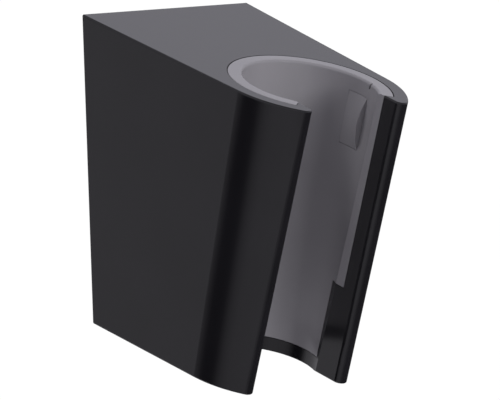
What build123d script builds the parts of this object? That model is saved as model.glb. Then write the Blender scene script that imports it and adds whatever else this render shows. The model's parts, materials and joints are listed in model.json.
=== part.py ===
"""Fixed wall holder for a hand shower: a leaning open cone that the hose's cone nut drops into.

Frame: +Z up, the wall is the plane y = 0, the front faces -Y, and the origin is the middle of
the holder's back face. "Depth" is measured down the cone axis from the top face, and
"towards the wall" is measured square to that axis.
"""

from build123d import *
from math import asin, cos, degrees, radians, sin, tan
import os

# ---- Housing, mm and degrees ----------------------------------------------------------------
HEIGHT = 53.2  # back face
TILT = 15.0  # the cone axis leans out from the wall at its top
LIP_THICKNESS = 5.05  # cone's mouth to the outside of the front
SIDE_FLARE = 2.6  # each flank opens towards the wall
FRONT_TAPER = 0.0307  # front radius lost per mm of depth
WALL = 2.4  # flanks
CEILING = 2.6
FLOOR = 2.3
EDGE_RADIUS = 0.3  # outer edges of the top and bottom faces
SLOT_SHARE = 0.811  # hose slot at the top face, as a share of the cone's mouth
SLOT_CLOSING = 0.3  # hose slot, narrower at the bottom face by this
LIP_RADIUS = 1.25  # slot's outer edges
POCKET_FRONT = 3.2  # hollow behind the solid front lips starts this far before the axis
COLUMN_WIDTH = 10.0  # rear column that backs the liner
COLUMN_WEB = 2.3  # column behind the liner's key
COVER_LENGTH = 16.4  # over this much of the foot, the lips cover the liner's ends
COVER_ANGLE = 9.0  # how far round the cone each cover reaches past the slot

# ---- Cone liner -------------------------------------------------------------------------------
BORE_TOP = 11.65  # cone radius at the top face
BORE_TAPER = 0.0292  # cone radius lost per mm of depth
LINER_WALL_TOP = 0.9
LINER_WALL_FOOT = 1.2
LEAD_IN = 0.45  # rounded mouth of the cone
RIM_WIDTH = 2.5  # cone's mouth to the rim's edge
RIM_THICKNESS = 1.3
RIM_EDGE = 0.15
RIM_END = 50.0  # the rim ends on a radius this far round from the front
KEY_WIDTH = 5.0  # spine that runs in the column's keyway
KEY_RISE = 2.25  # cone's mouth to the key's rear face

# ---- Grip springs -----------------------------------------------------------------------------
GRIP_TOP = 2.7  # depth of the window's upper edge
GRIP_LENGTH = 9.4  # window, along the axis
GRIP_HALF_ANGLE = 12.0  # window, each side of straight out sideways
GRIP_BOW = 1.0  # how far the leaf's front edge stands into the cone
GRIP_REAR_BOW = 0.1  # and its rear edge
GRIP_THICKNESS = 0.5
GRIP_TAB = 1.2  # leaf's flat ends, behind the liner
GRIP_STATIONS = 5  # sections that shape the leaf
NOTCH_HALF_ANGLE = 1.1  # notch in the cone's mouth above each leaf's front edge
NOTCH_LENGTH = 1.0
NOTCH_SINK = 0.4
RELIEF_HALF_ANGLE = 16.0  # room in the ceiling for the leaves to pass
RELIEF_REACH = 2.35  # beyond the cone's mouth radius

# ---- Wall plate -------------------------------------------------------------------------------
PLATE_THICKNESS = 3.0
SCREW_HOLE_RADIUS = 2.25
SCREW_SPACING = 25.0
SCREW_CENTRE = 0.5  # height of the middle of the two wall screws
HEAD_RADIUS = 4.0  # counterbore for a wall screw's head
HEAD_DEPTH = 1.4
BLOCK_WIDTH = 14.0  # lower block, which the set screw bears on
BLOCK_HEIGHT = 4.2
BLOCK_MARGIN = 1.4  # block past the set screw's point
TONGUE_WIDTH = 10.0  # upper tongue, which the housing hangs on
TONGUE_DROP = 6.0  # back face's upper edge to the tongue's top
TONGUE_HEIGHT = 3.2
TONGUE_REACH = 8.5  # wall to the tongue's end

# ---- Set screw, insert and liner screws --------------------------------------------------------
SET_SCREW_RADIUS = 2.0
SET_SCREW_LENGTH = 7.0
POINT_LENGTH = 1.2
POINT_RADIUS = 0.6
POINT_PROUD = 1.4  # screw point above the boss
SOCKET_ACROSS_FLATS = 2.0
SOCKET_DEPTH = 2.2
INSERT_WALL = 0.8
INSERT_LENGTH = 4.2
INSERT_GROOVE = 0.35
BOSS_WALL = 1.3
LINER_SCREW_DEPTHS = {"upper": 12.0, "lower": 31.0}
LINER_SCREW_RADIUS = 1.05
LINER_SCREW_COVER = 0.35  # liner left between the screw's point and the cone's mouth radius
LINER_HEAD_RADIUS = 2.0
LINER_HEAD_HEIGHT = 1.4
RECESS_LENGTH = 2.4
RECESS_WIDTH = 0.5
RECESS_DEPTH = 0.8
GUIDE_THICKNESS = 1.6  # housing cheeks each side of the block and the tongue
GUIDE_HEIGHT = 8.0  # lower cheeks, above the floor

# ---- Clearances -------------------------------------------------------------------------------
PLATE_GAP = 0.3  # wall plate in the housing
GUIDE_GAP = 0.3  # housing cheeks to the block and the tongue
HANG_GAP = 0.1  # housing above the tongue
POINT_GAP = 0.08  # set screw's point to the block
THREAD_GAP = 0.06  # set screw in its insert
BOSS_GAP = 0.1  # screw boss in front of the wall plate
COLUMN_GAP = 0.33  # set screw behind the column
ACCESS_GAP = 0.4  # set screw in the floor's access hole
RIM_GAP = 0.12  # rim in its seat
LINER_GAP = 0.05  # liner in the housing's bore
FOOT_GAP = 0.1  # liner above the floor
COVER_GAP = 0.1  # liner to the lips that cover its ends
GRIP_GAP = 0.06  # leaf in its window
TAB_GAP = 0.05  # leaf's ends to the liner
SHANK_GAP = 0.2  # liner screws in the column

BEYOND = 8.0  # how far cutting shapes run past what they cut

# ---- What follows from those ------------------------------------------------------------------
LEAN = radians(TILT)
FLARE = radians(SIDE_FLARE)
SIDEWAYS = Vector(1, 0, 0)
UP_AXIS = Vector(0, -sin(LEAN), cos(LEAN))
TO_WALL = Vector(0, cos(LEAN), sin(LEAN))
LENGTH = HEIGHT * cos(LEAN)  # top face to bottom face, along the axis
FLOOR_DEPTH = LENGTH - FLOOR
COVER_DEPTH = LENGTH - COVER_LENGTH
LINER_FOOT = FLOOR_DEPTH - FOOT_GAP
RADIUS_TOP = BORE_TOP + LIP_THICKNESS
RIM_RADIUS = BORE_TOP + RIM_WIDTH
KEY_BACK = BORE_TOP + KEY_RISE  # axis to the key's rear face
COLUMN_BACK = KEY_BACK + COLUMN_WEB  # axis to the column's rear face
LINER_SCREW_TIP = BORE_TOP + LINER_SCREW_COVER  # axis to the screw's point
SLOT_TOP = SLOT_SHARE * 2 * BORE_TOP
SLOT_FOOT = SLOT_TOP - SLOT_CLOSING
GRIP_FOOT = GRIP_TOP + GRIP_LENGTH
TONGUE_TOP = HEIGHT / 2 - TONGUE_DROP
INSERT_RADIUS = SET_SCREW_RADIUS + INSERT_WALL
BOSS_RADIUS = INSERT_RADIUS + BOSS_WALL
SCREW_FROM_WALL = PLATE_THICKNESS + BOSS_GAP + BOSS_RADIUS  # at the floor's upper face
FLOOR_REACH = COLUMN_BACK + COLUMN_GAP + SET_SCREW_RADIUS + SCREW_FROM_WALL / cos(LEAN)
REACH = FLOOR_REACH * cos(LEAN) + FLOOR_DEPTH * sin(LEAN)  # wall to cone axis, at the top face
TOP_CENTRE = Vector(0, -REACH, HEIGHT / 2 - REACH * tan(LEAN))
CONE_AXIS = Axis(TOP_CENTRE, UP_AXIS)


def level(depth):
    """Plane square to the cone axis at a depth: x sideways, y towards the wall."""
    return Plane(origin=TOP_CENTRE - UP_AXIS * depth, x_dir=SIDEWAYS, z_dir=UP_AXIS)


def radial(angle):
    """Plane through the cone axis at an angle from the front: x outwards, y up the axis."""
    outwards = SIDEWAYS * sin(radians(angle)) - TO_WALL * cos(radians(angle))
    return Plane(origin=TOP_CENTRE, x_dir=outwards, z_dir=outwards.cross(UP_AXIS))


def behind_axis(depth, distance):
    """Plane facing the wall, a distance behind the cone axis at a depth."""
    origin = TOP_CENTRE - UP_AXIS * depth + TO_WALL * distance
    return Plane(origin=origin, x_dir=SIDEWAYS, z_dir=TO_WALL)


def front_radius(depth):
    return RADIUS_TOP - FRONT_TAPER * depth


def bore_radius(depth):
    return BORE_TOP - BORE_TAPER * depth


def liner_radius(depth):
    thicker = (LINER_WALL_FOOT - LINER_WALL_TOP) * depth / LINER_FOOT
    return bore_radius(depth) + LINER_WALL_TOP + thicker


def housing_bore_radius(depth):
    return liner_radius(depth) + LINER_GAP


def relief_radius(depth):
    """Straight-sided, because the leaves pass it on their way in."""
    return BORE_TOP + RELIEF_REACH


def notch_radius(depth):
    return bore_radius(depth) + NOTCH_SINK


def cover_root_radius(depth):
    """Outer face of the lips' covers, sunk into the lips."""
    return housing_bore_radius(depth) + LIP_RADIUS / 2


def slot_half_width(depth):
    return (SLOT_TOP + (SLOT_FOOT - SLOT_TOP) * depth / LENGTH) / 2


def wall_distance(depth):
    """From the cone axis to the wall plane, square to the axis."""
    return (REACH - depth * sin(LEAN)) / cos(LEAN)


def half_width(y, z, inset):
    """Half the body's width at a height and a distance from the wall, with its skin inset."""
    from_centre = Vector(0, y, z) - TOP_CENTRE
    depth = -from_centre.dot(UP_AXIS)
    to_wall = from_centre.dot(TO_WALL)
    return (front_radius(depth) - inset) / cos(FLARE) + to_wall * tan(FLARE)


def ceiling_height(y):
    """Height of the ceiling's underside at a distance from the wall."""
    return HEIGHT / 2 - CEILING / cos(LEAN) + y * tan(LEAN)


def floor_height(y):
    """Height of the floor's upper face at a distance from the wall."""
    return -HEIGHT / 2 + FLOOR / cos(LEAN) + y * tan(LEAN)


# ---- Profiles ---------------------------------------------------------------------------------
def body_section(depth):
    """Outline of the body square to the axis: a round front and straight flanks."""
    radius = front_radius(depth)
    side = radius * cos(FLARE)
    start = -radius * sin(FLARE)
    end = wall_distance(0) + BEYOND
    end_side = side + (end - start) * tan(FLARE)
    with BuildSketch(level(depth)) as section:
        with BuildLine():
            ThreePointArc((-side, start), (0, -radius), (side, start))
            Polyline((side, start), (end_side, end), (-end_side, end), (-side, start))
        make_face()
    return section.sketch


def pocket_section(depth):
    """Outline of the hollow behind the lips, a wall's thickness inside the flanks."""
    middle = (front_radius(depth) - WALL) / cos(FLARE)
    front = middle - POCKET_FRONT * tan(FLARE)
    end = wall_distance(0) + BEYOND
    rear = middle + end * tan(FLARE)
    with BuildSketch(level(depth)) as section:
        with BuildLine():
            Polyline(
                (-front, -POCKET_FRONT),
                (front, -POCKET_FRONT),
                (rear, end),
                (-rear, end),
                close=True,
            )
        make_face()
    return section.sketch


def slot_section(depth):
    """Rectangle of the hose slot, from the cone axis out past the front."""
    reach = front_radius(0) + BEYOND
    with BuildSketch(level(depth)) as section:
        with Locations((0, -reach / 2)):
            Rectangle(2 * slot_half_width(depth), reach)
    return section.sketch


def rim_section(grow):
    """The rim seen along the axis: a disc whose front is cut away between two radii."""
    radius = RIM_RADIUS + grow
    end = radians(RIM_END)
    apex = -grow / sin(end)
    corner = apex - 2 * radius * cos(end)
    side = 2 * radius * sin(end)
    with BuildSketch(level(0)) as section:
        Circle(radius)
        with BuildLine():
            Polyline((0, apex), (side, corner), (-side, corner), close=True)
        make_face(mode=Mode.SUBTRACT)
    return section.sketch


def cone_section(angle, top, foot, inner, outer):
    """Slice through a tapered ring on a radial plane, between two depths."""
    with BuildSketch(radial(angle)) as section:
        with BuildLine():
            Polyline(
                (inner(top), -top),
                (outer(top), -top),
                (outer(foot), -foot),
                (inner(foot), -foot),
                close=True,
            )
        make_face()
    return section.sketch


def on_axis(depth):
    return 0


def bore_section():
    """Slice through the hollow cone, with its rounded mouth, from above the rim to below the foot."""
    mouth = bore_radius(LEAD_IN)
    shoulder = LEAD_IN * (1 - cos(radians(45)))
    with BuildSketch(radial(0)) as section:
        with BuildLine():
            ThreePointArc(
                (mouth + LEAD_IN, 0),
                (mouth + shoulder, -shoulder),
                (mouth, -LEAD_IN),
            )
            Polyline(
                (mouth, -LEAD_IN),
                (bore_radius(LENGTH), -LENGTH),
                (0, -LENGTH),
                (0, BEYOND),
                (mouth + LEAD_IN, BEYOND),
                (mouth + LEAD_IN, 0),
            )
        make_face()
    return section.sketch


def upright_section(offset, corners):
    """Upright slab seen from the side, on a plane a distance from the middle."""
    with BuildSketch(Plane.YZ.offset(offset)) as section:
        with BuildLine():
            Polyline(*corners, close=True)
        make_face()
    return section.sketch


# ---- Set screw, in the floor near the wall ------------------------------------------------------
screw_centre = Vector(0, -SCREW_FROM_WALL, floor_height(-SCREW_FROM_WALL))
point_rise = INSERT_LENGTH + POINT_PROUD
point_centre = screw_centre + UP_AXIS * point_rise
block_underside = point_centre.Z + POINT_RADIUS * sin(LEAN) + POINT_GAP


def screw_plane(rise):
    """Plane square to the set screw, a height above the floor's upper face."""
    return Plane(origin=screw_centre + UP_AXIS * rise, x_dir=SIDEWAYS, z_dir=UP_AXIS)


with BuildPart() as set_screw:
    with BuildSketch(screw_plane(point_rise)):
        Circle(POINT_RADIUS)
    with BuildSketch(screw_plane(point_rise - POINT_LENGTH)):
        Circle(SET_SCREW_RADIUS)
    loft()
    with BuildSketch(screw_plane(point_rise - POINT_LENGTH)):
        Circle(SET_SCREW_RADIUS)
    extrude(amount=-(SET_SCREW_LENGTH - POINT_LENGTH))
    with BuildSketch(screw_plane(point_rise - SET_SCREW_LENGTH)):
        RegularPolygon(SOCKET_ACROSS_FLATS / 2, 6, major_radius=False)
    extrude(amount=SOCKET_DEPTH, mode=Mode.SUBTRACT)
set_screw.part.label = "set_screw"

# ---- Threaded insert: brass sleeve with a retaining groove --------------------------------------
with BuildPart() as threaded_insert:
    with BuildSketch(screw_plane(0)):
        Circle(INSERT_RADIUS)
        Circle(SET_SCREW_RADIUS + THREAD_GAP, mode=Mode.SUBTRACT)
    extrude(amount=INSERT_LENGTH)
    with BuildSketch(screw_plane(INSERT_LENGTH / 3)):
        Circle(INSERT_RADIUS)
        Circle(INSERT_RADIUS - INSERT_GROOVE, mode=Mode.SUBTRACT)
    extrude(amount=INSERT_LENGTH / 3, mode=Mode.SUBTRACT)
threaded_insert.part.label = "threaded_insert"

# ---- Wall plate ---------------------------------------------------------------------------------
plate_low = floor_height(0) + PLATE_GAP
plate_high = ceiling_height(-PLATE_THICKNESS) - PLATE_GAP
plate_inset = WALL + PLATE_GAP
block_front = point_centre.Y - BLOCK_MARGIN

with BuildPart() as wall_plate:
    with BuildSketch(Plane.XZ):
        low_half = half_width(-PLATE_THICKNESS, plate_low, plate_inset)
        high_half = half_width(-PLATE_THICKNESS, plate_high, plate_inset)
        with BuildLine():
            Polyline(
                (-low_half, plate_low),
                (low_half, plate_low),
                (high_half, plate_high),
                (-high_half, plate_high),
                close=True,
            )
        make_face()
    extrude(amount=PLATE_THICKNESS)
    with BuildSketch(Plane.XZ):
        with Locations((0, block_underside + BLOCK_HEIGHT / 2)):
            Rectangle(BLOCK_WIDTH, BLOCK_HEIGHT)
    extrude(amount=-block_front)
    with BuildSketch(Plane.XZ):
        with Locations((0, TONGUE_TOP - TONGUE_HEIGHT / 2)):
            Rectangle(TONGUE_WIDTH, TONGUE_HEIGHT)
    extrude(amount=TONGUE_REACH)
    with Locations(Plane.XZ.offset(PLATE_THICKNESS)):
        with Locations((0, SCREW_CENTRE - SCREW_SPACING / 2), (0, SCREW_CENTRE + SCREW_SPACING / 2)):
            CounterBoreHole(SCREW_HOLE_RADIUS, HEAD_RADIUS, HEAD_DEPTH)
wall_plate.part.label = "wall_plate"

# ---- Housing ------------------------------------------------------------------------------------
guide_rear = -(PLATE_THICKNESS + PLATE_GAP)
block_side = BLOCK_WIDTH / 2 + GUIDE_GAP
block_cheek_front = block_front - GUIDE_GAP
block_cheek_top = floor_height(0) + GUIDE_HEIGHT
block_cheek = [
    (block_cheek_front, floor_height(block_cheek_front) - FLOOR / 2),
    (guide_rear, floor_height(guide_rear) - FLOOR / 2),
    (guide_rear, block_cheek_top),
    (block_cheek_front, block_cheek_top),
]
tongue_side = TONGUE_WIDTH / 2 + GUIDE_GAP
hanger_front = -(TONGUE_REACH + GUIDE_GAP)
hanger_roof = [
    (guide_rear, ceiling_height(guide_rear) + CEILING / 2),
    (hanger_front, ceiling_height(hanger_front) + CEILING / 2),
]
hanger_pad = [
    (hanger_front, TONGUE_TOP + HANG_GAP),
    (guide_rear, TONGUE_TOP + HANG_GAP),
    *hanger_roof,
]
hanger_cheek = [
    (hanger_front, TONGUE_TOP - TONGUE_HEIGHT),
    (guide_rear, TONGUE_TOP - TONGUE_HEIGHT),
    *hanger_roof,
]
slot_angle = degrees(asin(slot_half_width(COVER_DEPTH) / bore_radius(COVER_DEPTH)))
cover_angle = slot_angle + COVER_ANGLE

# the lips' inner edges, which hide the liner's ends near the foot
with BuildPart() as covers:
    cover = cone_section(-cover_angle, COVER_DEPTH, FLOOR_DEPTH, bore_radius, cover_root_radius)
    revolve(cover, CONE_AXIS, 2 * cover_angle)
    loft(sections=[slot_section(-BEYOND), slot_section(LENGTH + BEYOND)], mode=Mode.SUBTRACT)

with BuildPart() as housing:
    loft(sections=[body_section(0), body_section(LENGTH)], ruled=True)
    split(bisect_by=Plane.XZ, keep=Keep.TOP)
    loft(sections=[slot_section(-BEYOND), slot_section(LENGTH + BEYOND)], mode=Mode.SUBTRACT)
    long_edges = housing.edges().filter_by(lambda edge: edge.length > LENGTH / 2)
    fillet(long_edges.group_by(Axis(TOP_CENTRE, TO_WALL))[0], LIP_RADIUS)
    end_faces = housing.faces().sort_by(CONE_AXIS)
    end_edges = end_faces[0].edges() + end_faces[-1].edges()
    outline = end_edges.filter_by(lambda edge: abs(edge.center().X) > SLOT_TOP / 2 + 0.01)
    fillet(outline, EDGE_RADIUS)

    # hollow behind the lips, and the cheeks, pad and column that stand in it
    loft(sections=[pocket_section(CEILING), pocket_section(FLOOR_DEPTH)], mode=Mode.SUBTRACT)
    for side in (-1, 1):
        extrude(upright_section(side * block_side, block_cheek), amount=side * GUIDE_THICKNESS)
        extrude(upright_section(side * tongue_side, hanger_cheek), amount=side * GUIDE_THICKNESS)
    extrude(upright_section(0, hanger_pad), amount=tongue_side + GUIDE_THICKNESS, both=True)
    with BuildSketch(level(CEILING / 2)):
        with Locations((0, COLUMN_BACK / 2)):
            Rectangle(COLUMN_WIDTH, COLUMN_BACK)
    extrude(amount=-(LENGTH - CEILING / 2 - FLOOR / 2))
    with BuildSketch(screw_plane(-FLOOR / 2)):
        Circle(BOSS_RADIUS)
    extrude(amount=FLOOR / 2 + INSERT_LENGTH)

    # room for the liner: bore, rim seat, keyway and reliefs for the grips to pass
    bore = cone_section(0, -BEYOND, FLOOR_DEPTH, on_axis, housing_bore_radius)
    revolve(bore, CONE_AXIS, mode=Mode.SUBTRACT)
    extrude(rim_section(RIM_GAP), amount=-RIM_THICKNESS, mode=Mode.SUBTRACT)
    with BuildSketch(level(0)):
        with Locations((0, (KEY_BACK + LINER_GAP) / 2)):
            Rectangle(KEY_WIDTH + 2 * LINER_GAP, KEY_BACK + LINER_GAP)
    extrude(amount=-FLOOR_DEPTH, mode=Mode.SUBTRACT)
    for side in (-1, 1):
        start = side * 90 - RELIEF_HALF_ANGLE
        relief = cone_section(start, RIM_THICKNESS / 2, CEILING, on_axis, relief_radius)
        revolve(relief, CONE_AXIS, 2 * RELIEF_HALF_ANGLE, mode=Mode.SUBTRACT)

    # covers over the liner's ends, and the way through the floor
    add(covers)
    way_through = cone_section(0, FLOOR_DEPTH / 2, LENGTH + BEYOND, on_axis, bore_radius)
    revolve(way_through, CONE_AXIS, mode=Mode.SUBTRACT)

    # screw holes
    with BuildSketch(screw_plane(0)):
        Circle(SET_SCREW_RADIUS + ACCESS_GAP)
    extrude(amount=-2 * FLOOR, mode=Mode.SUBTRACT)
    with BuildSketch(screw_plane(0)):
        Circle(INSERT_RADIUS)
    extrude(amount=INSERT_LENGTH, mode=Mode.SUBTRACT)
    for depth in LINER_SCREW_DEPTHS.values():
        with BuildSketch(behind_axis(depth, COLUMN_BACK)):
            Circle(LINER_SCREW_RADIUS + SHANK_GAP)
        extrude(amount=-(COLUMN_BACK - KEY_BACK), mode=Mode.SUBTRACT)
housing.part.label = "housing"

# ---- Cone liner ---------------------------------------------------------------------------------
with BuildPart() as cone_liner:
    extrude(rim_section(0), amount=-RIM_THICKNESS)
    top_edges = cone_liner.faces().sort_by(CONE_AXIS)[-1].edges()
    fillet(top_edges.filter_by(GeomType.CIRCLE), RIM_EDGE)
    revolve(cone_section(0, 0, LINER_FOOT, on_axis, liner_radius), CONE_AXIS)
    with BuildSketch(level(RIM_THICKNESS / 2)):
        with Locations((0, KEY_BACK / 2)):
            Rectangle(KEY_WIDTH, KEY_BACK)
    extrude(amount=-(LINER_FOOT - RIM_THICKNESS / 2))
    revolve(bore_section(), CONE_AXIS, mode=Mode.SUBTRACT)
    loft(sections=[slot_section(-BEYOND), slot_section(LENGTH + BEYOND)], mode=Mode.SUBTRACT)
    end_angle = cover_angle + degrees(COVER_GAP / bore_radius(COVER_DEPTH))
    ends = cone_section(-end_angle, COVER_DEPTH - COVER_GAP, LENGTH, on_axis, cover_root_radius)
    revolve(ends, CONE_AXIS, 2 * end_angle, mode=Mode.SUBTRACT)
    for side in (-1, 1):
        start = side * 90 - GRIP_HALF_ANGLE
        window = cone_section(start, GRIP_TOP, GRIP_FOOT, on_axis, relief_radius)
        revolve(window, CONE_AXIS, 2 * GRIP_HALF_ANGLE, mode=Mode.SUBTRACT)
        start = side * (90 - GRIP_HALF_ANGLE) - NOTCH_HALF_ANGLE
        notch = cone_section(start, -BEYOND, NOTCH_LENGTH, on_axis, notch_radius)
        revolve(notch, CONE_AXIS, 2 * NOTCH_HALF_ANGLE, mode=Mode.SUBTRACT)
    for depth in LINER_SCREW_DEPTHS.values():
        with BuildSketch(behind_axis(depth, KEY_BACK)):
            Circle(LINER_SCREW_RADIUS)
        extrude(amount=-(KEY_BACK - LINER_SCREW_TIP), mode=Mode.SUBTRACT)
cone_liner.part.label = "cone_liner"


# ---- Grip springs: bowed leaves whose flat ends lie behind the liner ---------------------------
def grip_section(angle, bow):
    """Slice through a leaf: two tabs behind the liner, two legs and the bow between them."""
    top = GRIP_TOP + GRIP_GAP
    foot = GRIP_FOOT - GRIP_GAP
    middle = (top + foot) / 2
    tab_top = GRIP_TOP - GRIP_TAB
    tab_foot = GRIP_FOOT + GRIP_TAB
    leg_top = top + GRIP_THICKNESS
    leg_foot = foot - GRIP_THICKNESS

    def tab(depth):
        return liner_radius(depth) + TAB_GAP

    def tab_back(depth):
        return tab(depth) + GRIP_THICKNESS

    def bow_back(depth):
        return bore_radius(depth) + GRIP_THICKNESS

    with BuildSketch(radial(angle)) as section:
        with BuildLine():
            ThreePointArc(
                (bore_radius(top), -top),
                (bore_radius(middle) - bow, -middle),
                (bore_radius(foot), -foot),
            )
            Polyline(
                (bore_radius(foot), -foot),
                (tab(foot), -foot),
                (tab(tab_foot), -tab_foot),
                (tab_back(tab_foot), -tab_foot),
                (tab_back(leg_foot), -leg_foot),
                (bow_back(leg_foot), -leg_foot),
                (bow_back(leg_top), -leg_top),
                (tab_back(leg_top), -leg_top),
                (tab_back(tab_top), -tab_top),
                (tab(tab_top), -tab_top),
                (tab(top), -top),
                (bore_radius(top), -top),
            )
        make_face()
    return section.sketch


grip_angle = GRIP_HALF_ANGLE - degrees(GRIP_GAP / bore_radius(GRIP_TOP))
grip_stations = []
for station in range(GRIP_STATIONS):
    share = station / (GRIP_STATIONS - 1)
    angle = 90 + grip_angle * (2 * share - 1)
    grip_stations.append(grip_section(angle, GRIP_BOW + (GRIP_REAR_BOW - GRIP_BOW) * share))

with BuildPart() as grip_spring_right:
    loft(sections=grip_stations)
grip_spring_right.part.label = "grip_spring_right"

with BuildPart() as grip_spring_left:
    mirror(grip_spring_right.part, about=Plane.YZ)
grip_spring_left.part.label = "grip_spring_left"

# ---- Liner screws: from behind, through the column into the liner's key -------------------------
liner_screws = []
for name, depth in LINER_SCREW_DEPTHS.items():
    with BuildPart() as liner_screw:
        with BuildSketch(behind_axis(depth, COLUMN_BACK)):
            Circle(LINER_SCREW_RADIUS)
        extrude(amount=-(COLUMN_BACK - LINER_SCREW_TIP))
        with BuildSketch(behind_axis(depth, COLUMN_BACK)):
            Circle(LINER_HEAD_RADIUS)
        extrude(amount=LINER_HEAD_HEIGHT)
        rim_edge = liner_screw.edges().sort_by(Axis(TOP_CENTRE, TO_WALL))[-1]
        fillet(rim_edge, LINER_HEAD_HEIGHT / 2)
        with BuildSketch(behind_axis(depth, COLUMN_BACK + LINER_HEAD_HEIGHT)):
            Rectangle(RECESS_LENGTH, RECESS_WIDTH)
            Rectangle(RECESS_WIDTH, RECESS_LENGTH)
        extrude(amount=-RECESS_DEPTH, mode=Mode.SUBTRACT)
    liner_screw.part.label = "liner_screw_" + name
    liner_screws.append(liner_screw.part)

# ---- Write each piece ---------------------------------------------------------------------------
pieces = [
    housing.part,
    cone_liner.part,
    grip_spring_left.part,
    grip_spring_right.part,
    wall_plate.part,
    set_screw.part,
    threaded_insert.part,
    *liner_screws,
]
os.makedirs("parts", exist_ok=True)
for piece in pieces:
    export_step(piece, "parts/" + piece.label + ".step")
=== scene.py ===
import json
import math

import bpy
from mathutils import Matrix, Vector


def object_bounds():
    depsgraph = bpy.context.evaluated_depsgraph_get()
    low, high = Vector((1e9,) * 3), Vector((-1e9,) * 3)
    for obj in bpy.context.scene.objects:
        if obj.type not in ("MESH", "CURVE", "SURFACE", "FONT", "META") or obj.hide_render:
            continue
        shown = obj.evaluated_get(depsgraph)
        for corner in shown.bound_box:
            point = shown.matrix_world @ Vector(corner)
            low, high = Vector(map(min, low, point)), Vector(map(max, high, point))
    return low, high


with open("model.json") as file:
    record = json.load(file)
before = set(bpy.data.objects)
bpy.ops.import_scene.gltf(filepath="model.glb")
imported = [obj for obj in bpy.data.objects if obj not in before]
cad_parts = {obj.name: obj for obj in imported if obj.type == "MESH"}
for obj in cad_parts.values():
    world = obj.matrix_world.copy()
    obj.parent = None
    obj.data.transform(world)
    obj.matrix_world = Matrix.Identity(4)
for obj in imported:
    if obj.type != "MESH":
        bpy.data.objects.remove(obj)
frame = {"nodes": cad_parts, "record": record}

CAD_BOX = [list(corner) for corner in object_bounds()]
MM = 0.001


# ---- Materials --------------------------------------------------------------------------------
CLOUD_SIZE = 14 * MM  # slow variation in a moulding's tone
PLASTIC_SPECULAR = 0.5
MARK_DEPTH = 0.01 * MM  # turning marks on metal


def new_material(name):
    """An empty Principled material: (material, nodes, links, shader)."""
    material = bpy.data.materials.new(name)
    material.use_nodes = True
    nodes = material.node_tree.nodes
    links = material.node_tree.links
    return material, nodes, links, nodes["Principled BSDF"]


def noise(nodes, links, coords, size, detail):
    """Noise whose lumps are about size metres across, in the object's own coordinates."""
    texture = nodes.new("ShaderNodeTexNoise")
    texture.inputs["Scale"].default_value = 1.0 / size
    texture.inputs["Detail"].default_value = detail
    links.new(coords.outputs["Object"], texture.inputs["Vector"])
    return texture


def ramp(nodes, links, factor, low, high, start=0.35, stop=0.65):
    """Colour ramp between two colours or two grey levels."""
    node = nodes.new("ShaderNodeValToRGB")
    for element, place, value in zip(node.color_ramp.elements, (start, stop), (low, high)):
        element.position = place
        colour = value if isinstance(value, tuple) else (value,) * 3
        element.color = (*colour, 1.0)
    links.new(factor, node.inputs["Fac"])
    return node


def moulded(name, dark, light, rough, grain, bump):
    """Spark-eroded moulded plastic: fine even grain, slow cloudy variation in tone and gloss."""
    material, nodes, links, shader = new_material(name)
    coords = nodes.new("ShaderNodeTexCoord")
    clouds = noise(nodes, links, coords, CLOUD_SIZE, detail=2.0)
    fine = noise(nodes, links, coords, grain, detail=4.0)
    tone = ramp(nodes, links, clouds.outputs["Fac"], dark, light)
    links.new(tone.outputs["Color"], shader.inputs["Base Color"])
    gloss = ramp(nodes, links, fine.outputs["Fac"], rough[0], rough[1])
    links.new(gloss.outputs["Color"], shader.inputs["Roughness"])
    shader.inputs["Specular IOR Level"].default_value = PLASTIC_SPECULAR
    relief = nodes.new("ShaderNodeBump")
    relief.inputs["Strength"].default_value = 1.0
    relief.inputs["Distance"].default_value = bump
    links.new(fine.outputs["Fac"], relief.inputs["Height"])
    links.new(relief.outputs["Normal"], shader.inputs["Normal"])
    return material


def turned_metal(name, dark, light, rough, grain):
    """Plain machined metal with fine turning marks and small tone changes."""
    material, nodes, links, shader = new_material(name)
    coords = nodes.new("ShaderNodeTexCoord")
    marks = noise(nodes, links, coords, grain, detail=6.0)
    tone = ramp(nodes, links, marks.outputs["Fac"], dark, light)
    links.new(tone.outputs["Color"], shader.inputs["Base Color"])
    gloss = ramp(nodes, links, marks.outputs["Fac"], rough[0], rough[1])
    links.new(gloss.outputs["Color"], shader.inputs["Roughness"])
    shader.inputs["Metallic"].default_value = 1.0
    relief = nodes.new("ShaderNodeBump")
    relief.inputs["Distance"].default_value = MARK_DEPTH
    links.new(marks.outputs["Fac"], relief.inputs["Height"])
    links.new(relief.outputs["Normal"], shader.inputs["Normal"])
    return material


FINISH = {
    "black_shell": moulded(
        "black_shell",
        dark=(0.0056, 0.0053, 0.0064),
        light=(0.0068, 0.0064, 0.0078),
        rough=(0.14, 0.18),
        grain=0.35 * MM,
        bump=0.0008 * MM,
    ),
    "grey_liner": moulded(
        "grey_liner",
        dark=(0.160, 0.154, 0.167),
        light=(0.175, 0.169, 0.182),
        rough=(0.22, 0.25),
        grain=0.35 * MM,
        bump=0.0004 * MM,
    ),
    "plate": moulded(
        "plate",
        dark=(0.05, 0.05, 0.053),
        light=(0.062, 0.062, 0.065),
        rough=(0.5, 0.62),
        grain=0.5 * MM,
        bump=0.01 * MM,
    ),
    "steel": turned_metal(
        "steel",
        dark=(0.42, 0.42, 0.43),
        light=(0.55, 0.55, 0.56),
        rough=(0.25, 0.4),
        grain=0.25 * MM,
    ),
    "brass": turned_metal(
        "brass",
        dark=(0.52, 0.38, 0.15),
        light=(0.66, 0.5, 0.22),
        rough=(0.25, 0.4),
        grain=0.25 * MM,
    ),
}
SLOT_OF = {part["node"]: part["material_slot"] for part in frame["record"]["subparts"]}

for node, obj in frame["nodes"].items():
    obj.data.materials.clear()
    obj.data.materials.append(FINISH[SLOT_OF[node]])


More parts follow.
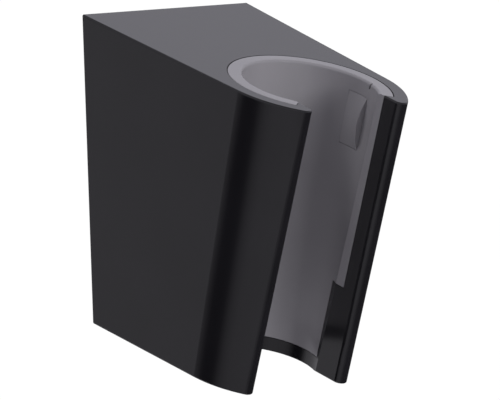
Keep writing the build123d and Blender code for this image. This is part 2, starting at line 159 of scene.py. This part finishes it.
# ---- Camera: the photograph's viewing angle ---------------------------------------------------
IMAGE_WIDTH = 500
AZIMUTH = math.radians(-40.7)
ELEVATION = math.radians(6.37)
DISTANCE = 1205 * MM
FOCAL_PIXELS = 7095
SENSOR_WIDTH = 36.0
CLIP_END = 20.0
TARGET = Vector((0.0, -22.2 * MM, -4.6 * MM))

towards_camera = Vector(
    (
        math.sin(AZIMUTH) * math.cos(ELEVATION),
        -math.cos(AZIMUTH) * math.cos(ELEVATION),
        math.sin(ELEVATION),
    )
)
camera_data = bpy.data.cameras.new("camera")
camera_data.sensor_width = SENSOR_WIDTH
camera_data.lens = FOCAL_PIXELS / IMAGE_WIDTH * SENSOR_WIDTH
camera_data.clip_end = CLIP_END
camera = bpy.data.objects.new("camera", camera_data)
bpy.context.collection.objects.link(camera)
camera.location = TARGET + towards_camera * DISTANCE
camera.rotation_euler = (-towards_camera).to_track_quat("-Z", "Y").to_euler()
bpy.context.scene.camera = camera


# ---- Studio -----------------------------------------------------------------------------------
SOFTBOX_SIZE = 0.4


def softbox(name, bearing, height, distance, power):
    """Square area light aimed at the object, not seen in reflections; bearings run from the
    front towards +X."""
    light = bpy.data.lights.new(name, "AREA")
    light.shape = "RECTANGLE"
    light.size = SOFTBOX_SIZE
    light.size_y = SOFTBOX_SIZE
    light.energy = power
    lamp = bpy.data.objects.new(name, light)
    bpy.context.collection.objects.link(lamp)
    angle = math.radians(bearing)
    offset = Vector((math.sin(angle) * distance, -math.cos(angle) * distance, height))
    lamp.location = TARGET + offset
    lamp.rotation_euler = (TARGET - lamp.location).to_track_quat("-Z", "Y").to_euler()
    lamp.visible_camera = False
    lamp.visible_glossy = False


softbox("front", bearing=8, height=0.25, distance=1.1, power=12.5)
softbox("high_left", bearing=-140, height=1.25, distance=0.7, power=12.0)
bpy.context.scene.view_settings.view_transform = "Standard"

# soft room light: walls whose brightness changes with bearing, an even band above them and a dim
# ceiling; the walls were set for the reflections that the camera's angle shows
BAND_LIGHT = (0.66, 0.65, 0.72)
ZENITH_LIGHT = (0.25, 0.25, 0.26)
WALL_TINT = (1.0, 0.98, 1.05)
BAND_RISE = 0.3  # height on the unit sphere by which the walls have given way to the band
ZENITH_RISE = (0.55, 0.9)  # heights between which the band gives way to the ceiling
WALLS = [  # bearing in degrees, brightness
    (-180, 0.64),
    (-140, 0.63),
    (-127, 0.0),
    (-108, 0.0),
    (-98, 0.30),
    (-88, 0.43),
    (-60, 0.45),
    (-42, 0.28),
    (-5, 0.02),
    (80, 0.02),
    (105, 0.06),
    (140, 0.08),
    (180, 0.50),
]
world = bpy.data.worlds.new("studio")
world.use_nodes = True
nodes = world.node_tree.nodes
links = world.node_tree.links
coords = nodes.new("ShaderNodeTexCoord")
split = nodes.new("ShaderNodeSeparateXYZ")
links.new(coords.outputs["Generated"], split.inputs["Vector"])
to_front = nodes.new("ShaderNodeMath")
to_front.operation = "MULTIPLY"
to_front.inputs[1].default_value = -1.0
links.new(split.outputs["Y"], to_front.inputs[0])
bearing = nodes.new("ShaderNodeMath")
bearing.operation = "ARCTAN2"
links.new(split.outputs["X"], bearing.inputs[0])
links.new(to_front.outputs["Value"], bearing.inputs[1])
turn = nodes.new("ShaderNodeMapRange")
turn.inputs["From Min"].default_value = -math.pi
turn.inputs["From Max"].default_value = math.pi
links.new(bearing.outputs["Value"], turn.inputs["Value"])
walls = nodes.new("ShaderNodeValToRGB")
while len(walls.color_ramp.elements) < len(WALLS):
    walls.color_ramp.elements.new(0.5)
for element, (angle, level) in zip(walls.color_ramp.elements, WALLS):
    element.position = (angle + 180) / 360
    element.color = (*(level * tint for tint in WALL_TINT), 1.0)
links.new(turn.outputs["Result"], walls.inputs["Fac"])
rise = ramp(nodes, links, split.outputs["Z"], 0.0, 1.0, 0.0, BAND_RISE)
overhead = ramp(nodes, links, split.outputs["Z"], BAND_LIGHT, ZENITH_LIGHT, *ZENITH_RISE)
MIX_FACTOR, MIX_A, MIX_B, MIX_RESULT = 0, 6, 7, 2  # the Mix node's colour sockets
room = nodes.new("ShaderNodeMix")
room.data_type = "RGBA"
links.new(rise.outputs["Color"], room.inputs[MIX_FACTOR])
links.new(walls.outputs["Color"], room.inputs[MIX_A])
links.new(overhead.outputs["Color"], room.inputs[MIX_B])
links.new(room.outputs[MIX_RESULT], nodes["Background"].inputs["Color"])
bpy.context.scene.world = world

# pale floor, far enough down to leave the underside in view, and unseen in reflections
FLOOR_DROP = 0.95
FLOOR_GLOW = 0.85
STUDIO_RADIUS = 2.3
FLOOR_SHARE = 0.92  # of the backdrop's radius
object_foot = CAD_BOX[0][2]

material, nodes, links, shader = new_material("pale_floor")
shader.inputs["Base Color"].default_value = (0.95, 0.95, 0.95, 1.0)
shader.inputs["Roughness"].default_value = 0.9
shader.inputs["Emission Color"].default_value = (1.0, 1.0, 1.0, 1.0)
shader.inputs["Emission Strength"].default_value = FLOOR_GLOW
bpy.ops.mesh.primitive_circle_add(
    vertices=96,
    radius=FLOOR_SHARE * STUDIO_RADIUS,
    fill_type="NGON",
    location=(0.0, 0.0, object_foot - FLOOR_DROP),
)
floor = bpy.context.object
floor.name = "floor"
floor.visible_glossy = False
floor.data.materials.append(material)

# plain white backdrop round everything, seen only by the camera, so that it lights nothing
material, nodes, links, shader = new_material("white_backdrop")
shader.inputs["Base Color"].default_value = (0.0, 0.0, 0.0, 1.0)
shader.inputs["Emission Color"].default_value = (1.0, 1.0, 1.0, 1.0)
shader.inputs["Emission Strength"].default_value = 1.0
bpy.ops.mesh.primitive_uv_sphere_add(
    segments=64,
    ring_count=32,
    radius=STUDIO_RADIUS,
    location=(0.0, 0.0, object_foot),
)
backdrop = bpy.context.object
backdrop.name = "backdrop"
backdrop.data.materials.append(material)
backdrop.visible_diffuse = False
backdrop.visible_glossy = False
backdrop.visible_transmission = False
backdrop.visible_volume_scatter = False
backdrop.visible_shadow = False
